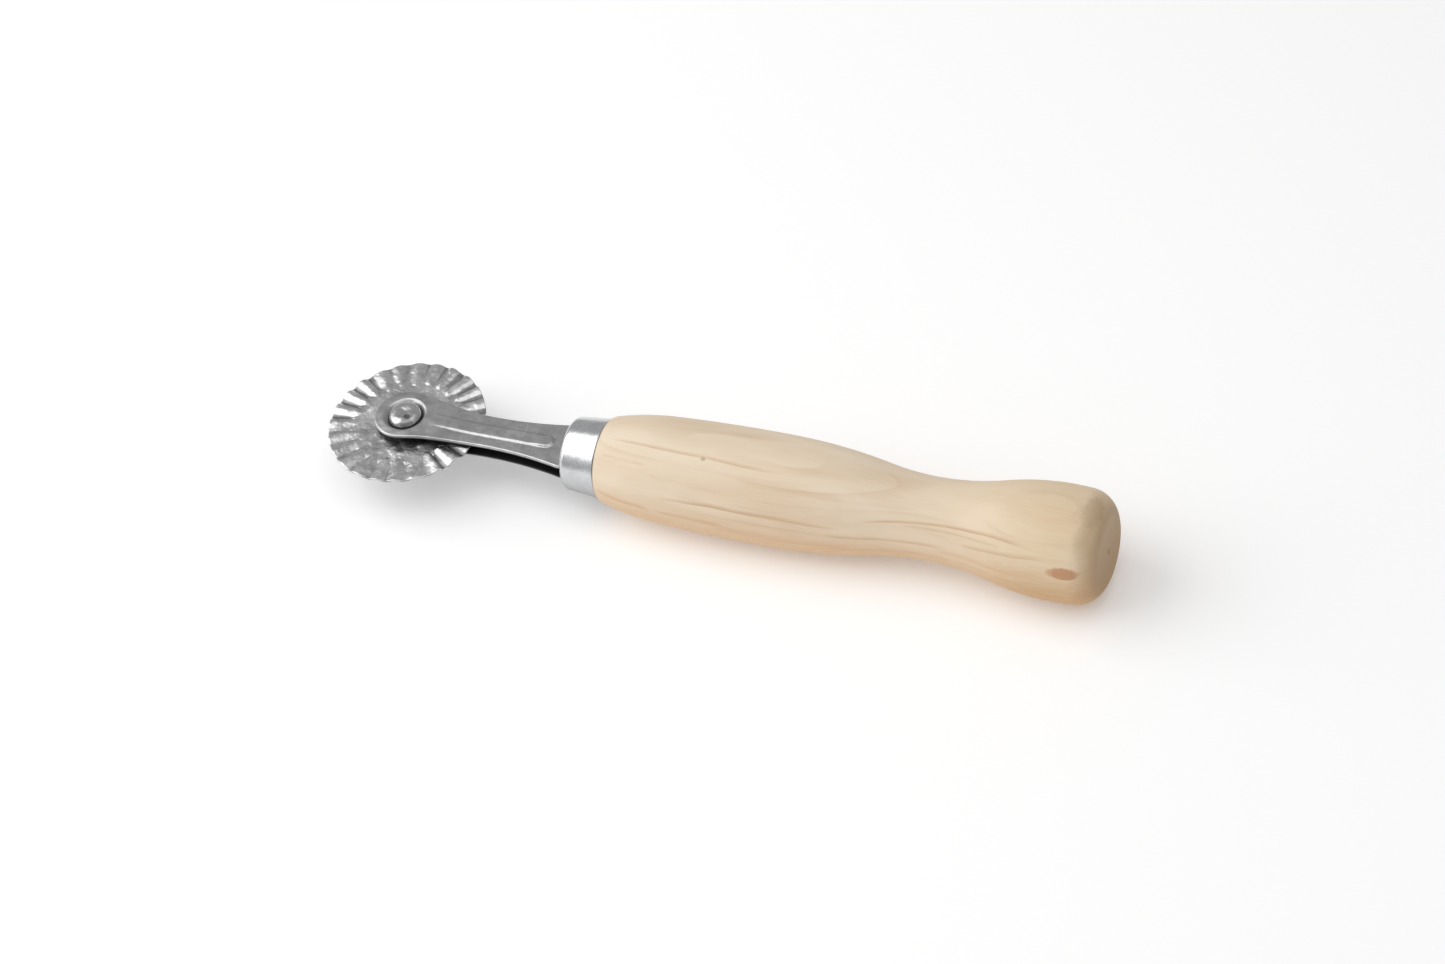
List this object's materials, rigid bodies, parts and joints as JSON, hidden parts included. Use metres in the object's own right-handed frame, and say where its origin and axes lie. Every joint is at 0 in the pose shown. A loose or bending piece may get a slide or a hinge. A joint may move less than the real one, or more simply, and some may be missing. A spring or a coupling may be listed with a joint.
{
  "type": "pastry cutter wheel",
  "caption": "Hand pastry wheel: a thin fluted steel wheel spins on a rivet in a sheet-steel fork, held by a ferrule in a turned wooden handle.",
  "frame": {"origin": "under the middle of the tool's length, on the level of the handle's lowest point", "axes": "+X along the handle from the wheel to the butt, +Z along the wheel's axle, wheel plane level with the handle's axis"},
  "size_m": [0.2032, 0.04, 0.0282],
  "materials": {
    "handle_wood": "fine-sanded unvarnished pale wood",
    "ferrule_steel": "drawn zinc-bright steel, satin",
    "fork_steel": "pressed sheet steel, satin grey",
    "rivet_steel": "plain steel, smooth",
    "wheel_steel": "pressed sheet steel, satin with scuffs"
  },
  "bodies": {
    "handle_body": {"handle": "handle_wood", "ferrule": "ferrule_steel", "fork_arm_upper": "fork_steel", "fork_arm_lower": "fork_steel", "axle_rivet": "rivet_steel", "axle_sleeve": "rivet_steel", "hub_washer_upper": "rivet_steel", "hub_washer_lower": "rivet_steel"},
    "wheel_body": {"pastry_wheel": "wheel_steel"}
  },
  "joints": [
    {"name": "wheel_spin", "type": "hinge", "parent": "handle_body", "child": "wheel_body", "pos_m": [-0.0816, 0, 0.0141], "axis": [0, 0, 1], "continuous": true}
  ]
}
